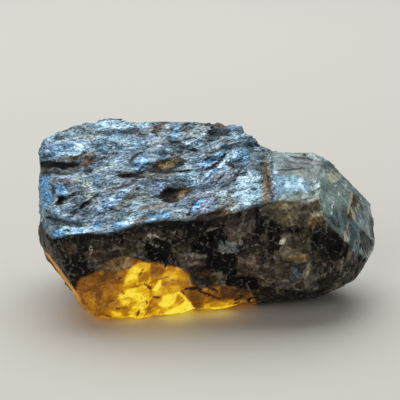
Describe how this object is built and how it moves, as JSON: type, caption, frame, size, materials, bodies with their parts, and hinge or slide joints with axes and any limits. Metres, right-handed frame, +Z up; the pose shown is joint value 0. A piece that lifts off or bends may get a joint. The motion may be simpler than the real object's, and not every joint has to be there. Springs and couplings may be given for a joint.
{
  "type": "raw zircon",
  "caption": "Raw smoky brown zircon with a hackly, flaked top, a blocky glassy front, a blunt pointed end and an amber foot, lying on a small flat spot.",
  "frame": {"origin": "centre of the bounding box, at the level the stone rests on", "axes": "+X along the stone, from the broken end to the pointed end; +Y away from the glassy front; +Z up"},
  "size_m": [0.0502, 0.0238, 0.0247],
  "materials": {
    "zircon": "glassy on fracture faces, satin on the flaked top"
  },
  "bodies": {
    "root": {"zircon": "zircon"}
  },
  "joints": []
}
